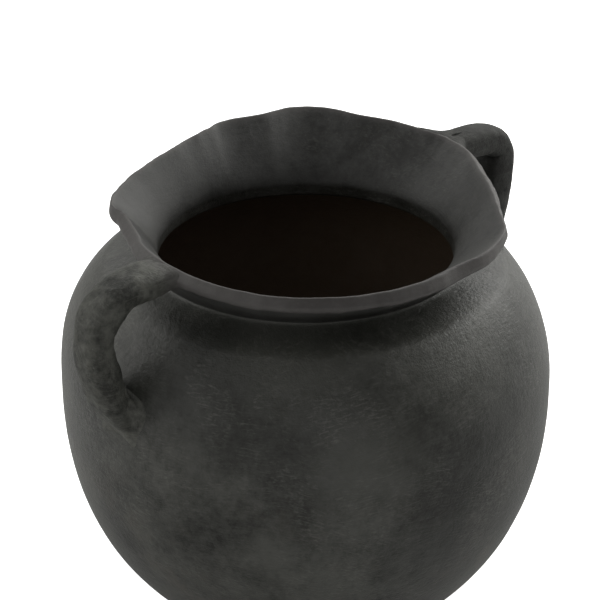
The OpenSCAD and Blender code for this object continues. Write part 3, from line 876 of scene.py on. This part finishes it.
coil_width = 0.023
coil_thick = 0.020
coil_square = 2.8
coil_stand = 0.0003
root_in = 0.0008
root_sink = 0.41
foot_sink = 0.0055
foot_z = widest_z + 0.027
root_thinner, foot_thinner = 0.18, 0.2
root_wider, foot_wider = 0.06, 0.1
groove_depth = 0.0013
groove_degrees = 4.5
handle_rows = 170
coil_sides = 84
left_coil_clay = black_clay("left_coil_clay", (0.022, 0.0224, 0.0190, 1), (0.084, 0.0850, 0.0730, 1), 0.66,
                            smoke=0.022, grit=0.0013, streaks=0.0, grain=0.8, crust=0.75, scuffs=0.5,
                            mottle=0.5, worn_root=0.8)
# The right coil has less pale crust than the left, and its clay is painted darker as painted shade
right_coil_shaded_clay = black_clay("right_coil_shaded_clay", (0.009, 0.0091, 0.0080, 1), (0.027, 0.0273, 0.0242, 1), 0.68,
                             smoke=0.022, streaks=0.0, grain=0.4, crust=0.15, scuffs=0.2,
                             mottle=0.35, sheen=0.38)


def bezier(points, t):
    """A point on the curve that a row of control points pulls."""
    while len(points) > 1:
        points = [a.lerp(b, t) for a, b in zip(points, points[1:])]
    return points[0]


def ease(value, low, high):
    """0 below low, 1 above high, and smooth between."""
    share = min(1.0, max(0.0, (value - low) / (high - low)))
    return share * share * (3 - 2 * share)


def lip_top(direction, strip=0.0015):
    """The highest point of the lip in a strip over the X axis, on one side."""
    near = [v.co for v in rim.data.vertices if abs(v.co.y) < strip and v.co.x * direction > 0]
    return max(near, key=lambda p: p.z)


class Coil:
    """A handle's coil in the upright plane through both handles. t runs from 0 at the lip to 2 at the foot.

    lift raises the coil as it leaves the lip, full widens it, and drawn_out is how far its end is
    smeared along the lip."""

    def __init__(self, name, direction, crown_z, lift, flats, grooves, roughness, full, drawn_out, clay):
        low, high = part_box(name)
        top = lip_top(direction)
        reach = high[0] if direction > 0 else -low[0]
        self.direction, self.flats, self.grooves, self.roughness = direction, flats, grooves, roughness
        self.full, self.drawn_out, self.clay = full, drawn_out, clay
        self.root = Vector((abs(top.x) + root_in, top.z - coil_thick * root_sink))
        self.crown = Vector((reach + coil_stand - coil_thick / 2, crown_z))
        self.foot = Vector((outside.radius(foot_z) - foot_sink, foot_z))
        span = self.crown.x - self.root.x
        drop = self.crown.y - self.foot.y
        self.upper = [self.root, self.root + Vector((span * 0.6, lift)),
                      Vector((self.crown.x, self.crown.y + (self.root.y - self.crown.y) * 0.9)), self.crown]
        self.lower = [self.crown, self.crown - Vector((0, drop * 0.42)),
                      self.foot + Vector(((self.crown.x - self.foot.x) * 0.6, drop * 0.2)), self.foot]

    def centre(self, t):
        """The middle of the coil, as the distance from the axis and the height."""
        return bezier(self.upper, t) if t <= 1 else bezier(self.lower, t - 1)

    def ahead(self, t):
        """The way the coil runs."""
        return (self.centre(min(t + 0.01, 2)) - self.centre(max(t - 0.01, 0))).normalized()

    def mid(self, t):
        """The middle of the coil as a place on the pot."""
        flat = self.centre(t)
        return Vector((flat.x * self.direction, 0, flat.y))

    def point(self, t, turn):
        """A point on the skin. turn is 0 on the outside of the loop and half a turn on its inside."""
        at_root = max(0.0, 1 - t) ** 2
        at_foot = max(0.0, t - 1) ** 2
        half_thick = coil_thick / 2 * (1 - root_thinner * at_root - foot_thinner * at_foot)
        half_width = coil_width / 2 * (self.full + root_wider * at_root + foot_wider * at_foot)
        ahead = self.ahead(t)
        out = Vector((-ahead.y, ahead.x))
        c, s = math.cos(turn), math.sin(turn)
        across = math.copysign(abs(c) ** (2 / coil_square), c) * (half_thick + self.squeeze(t, turn))
        along = math.copysign(abs(s) ** (2 / coil_square), s) * half_width
        flat = self.centre(t) + out * across
        place = Vector((flat.x * self.direction, along * -self.direction, flat.y))
        place += (place - self.mid(t)).normalized() * self.lumps(place * 1000)
        return self.kept_in_wall(place)

    def kept_in_wall(self, place):
        """A place moved out where it would come through the wall's inside."""
        near_axis = math.hypot(place.x, place.y)
        deepest = outside.radius(max(place.z, 0)) - foot_sink
        if near_axis < deepest:
            place.xy *= deepest / near_axis
        return place

    def lumps(self, grain):
        """The unevenness that fingers leave: broad lumps, soft creases and grit, nearly all cut inwards."""
        lump = (noise.noise(grain / 19 + Vector((self.direction, 0, 0))) - 0.6) * 0.0009
        lump -= abs(noise.noise(grain / 11 + Vector((0, self.direction, 4)))) * 0.0009
        lump += (noise.noise(grain / 5 + Vector((0, self.direction, 0))) - 0.6) * 0.00022
        lump += (noise.noise(grain / 2 + Vector((0, 0, self.direction))) - 0.6) * 0.00010
        return lump * self.roughness

    def squeeze(self, t, turn):
        """Flats pressed on the inside of the loop, and grooves along the outside of its bend."""
        change = 0.0
        inward = ease(-math.cos(turn), -0.15, 0.75)
        for start, end, depth in self.flats:
            if start <= t <= end:
                change += inward * depth * math.sin(math.pi * (t - start) / (end - start)) ** 0.7
        for groove_turn, start, end in self.grooves:
            gap = math.degrees(turn) - groove_turn
            fade = ease(t, start, start + 0.2) * (1 - ease(t, end - 0.3, end))
            change -= groove_depth * math.exp(-(gap / groove_degrees) ** 2) * fade
        return change

    def build(self, name):
        """The coil's closed mesh, from the lip to the foot."""
        rows = [[self.point(2 * i / handle_rows, math.tau * k / coil_sides) for k in range(coil_sides)]
                for i in range(handle_rows + 1)]
        return skin_of(name, rows, [self.mid(0), self.mid(2)])


def skin_of(name, rows, ends=None):
    """A closed mesh over rows of points: capped at the two end points, or joined last row to first."""
    count = len(rows[0])
    points = [p for row in rows for p in row]
    last = len(rows) if ends is None else len(rows) - 1
    faces = []
    for i in range(last):
        j = (i + 1) % len(rows)
        for k in range(count):
            m = (k + 1) % count
            faces.append((i * count + k, j * count + k, j * count + m, i * count + m))
    if ends is not None:
        points += ends
        for k in range(count):
            m = (k + 1) % count
            faces.append((len(points) - 2, k, m))
            faces.append((len(points) - 1, (len(rows) - 1) * count + m, (len(rows) - 1) * count + k))
    mesh = bpy.data.meshes.new(name)
    mesh.from_pydata(points, [], faces)
    mesh.shade_smooth()
    face_outwards(mesh)
    piece = bpy.data.objects.new(name, mesh)
    bpy.context.scene.collection.objects.link(piece)
    return piece


# The flats are where each pair of fingers pressed: from, to, and how far the clay bulges into the
# loop. The grooves run along the outside of the bend: degrees round the coil, from, to
coils = {
    "left": Coil(
        "left_handle", direction=-1, crown_z=widest_z + 0.084, lift=0.005,
        flats=((0.0, 0.40, 0.0022), (0.40, 0.87, 0.0026), (0.87, 1.02, 0.0002), (1.02, 1.70, 0.0032)),
        grooves=(), roughness=1.0, full=1.14, drawn_out=0.001, clay=left_coil_clay),
    "right": Coil(
        "right_handle", direction=1, crown_z=widest_z + 0.096, lift=0.0,
        flats=((0.0, 0.50, 0.0018), (0.50, 0.80, 0.0006), (0.80, 1.40, 0.0036), (1.40, 1.8, 0.0010)),
        grooves=((26, 0.62, 1.25), (42, 0.58, 1.15), (58, 0.65, 1.2)), roughness=0.5, full=1.02,
        drawn_out=0.009, clay=right_coil_shaded_clay)}
for side, coil in coils.items():
    handle = coil.build(side + "_handle_clay")
    handle.data.materials.append(coil.clay)
    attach(handle, "root")
    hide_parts(side + "_handle")


# ------------------------------------------------------------------ luting
# Soft clay is worked with a wet finger into the corner where each end of a coil meets the pot, and
# drawn out thin. At the foot it is dragged down into a point.

luting_rows = 16
search_steps = 60
blend_each_way = 4
start_back = 0.35
edge_under = 0.0003
tuck_far, tuck_near = 0.0016, 0.0025


def smear(name, coil, wall, near_t, end_t, reach):
    """A fillet from the coil's skin near one end to the wall, all round the place where they meet."""
    skin = BVHTree.FromObject(wall, bpy.context.evaluated_depsgraph_get())

    def meeting(turn):
        """How far along the coil its skin goes into the wall, or the end if it never does."""
        for i in range(search_steps + 1):
            t = near_t + (end_t - near_t) * i / search_steps
            place = coil.point(t, turn)
            near, up, _, _ = skin.find_nearest(place)
            if (place - near).dot(up) < 0:
                return t
        return end_t

    turns = [math.tau * k / coil_sides for k in range(coil_sides)]
    found = [meeting(turn) for turn in turns]
    shifts = range(-blend_each_way, blend_each_way + 1)
    smoothed = [sum(found[(k + shift) % coil_sides] for shift in shifts) / len(shifts)
                for k in range(coil_sides)]
    back = start_back if end_t > near_t else -start_back
    lines = []
    for turn, met in zip(turns, smoothed):
        start_t = min(2.0, max(0.0, met - back * (0.75 + 0.25 * math.sin(2 * turn + 1))))
        start = coil.point(start_t, turn)
        landing, up, _, _ = skin.find_nearest(coil.point(met, turn))
        outward = landing - coil.mid(met)
        outward = (outward - up * outward.dot(up)).normalized()
        width, fullness = reach(turn)
        far, far_up, _, _ = skin.find_nearest(landing + outward * width)
        span = (far - start).length
        slide = (coil.point(met, turn) - start).normalized()
        drawn = (far - landing).normalized()
        swell = far_up * (0.0005 * noise.noise(far * 140) + fullness)
        curve = [start, start + slide * span * 0.42, far - drawn * span * 0.42 + swell, far]
        middle = coil.mid(start_t)
        line = [bezier(curve, i / luting_rows) for i in range(luting_rows + 1)]
        line[0] = start.lerp(middle, 0.04)
        line[-1] = far - far_up * edge_under
        tucked = [far - far_up * tuck_far, landing - up * tuck_near, start.lerp(middle, 0.5)]
        lines.append(line + tucked)
    return skin_of(name, lines)


def foot_reach(turn):
    """Drawn out below the foot, on the outside of the loop, and packed full on its inside."""
    down = max(0.0, math.cos(turn)) ** 3
    packed = max(0.0, -math.cos(turn - 0.6)) ** 2
    width = 0.0045 + 0.008 * down + 0.005 * packed + 0.0012 * math.sin(3 * turn + 1)
    return width, 0.0004 + 0.0022 * packed


def rim_reach(drawn_out):
    """Worked well in under the rim, wiped over the lip, and drawn out along it on one side by so much."""
    def reach(turn):
        under = max(0.0, -math.cos(turn))
        over = max(0.0, math.cos(turn))
        drawn = drawn_out * max(0.0, -math.sin(turn)) ** 1.5
        width = 0.0045 + 0.005 * under + drawn_out * 0.45 * over + drawn + 0.0008 * math.sin(4 * turn)
        return width, 0.0004 + drawn_out * 0.13 * over + drawn * 0.25

    return reach


for side, coil in coils.items():
    foot_clay = smear(side + "_foot_luting_clay", coil, wall_pieces["shoulder_coil"], 1.5, 2.0, foot_reach)
    root_clay = smear(side + "_rim_luting_clay", coil, rim, 0.6, 0.0, rim_reach(coil.drawn_out))
    for luting, stands_for in ((foot_clay, side + "_foot_luting"), (root_clay, side + "_rim_luting")):
        luting.data.materials.append(coil.clay)
        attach(luting, "root")
        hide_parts(stands_for)
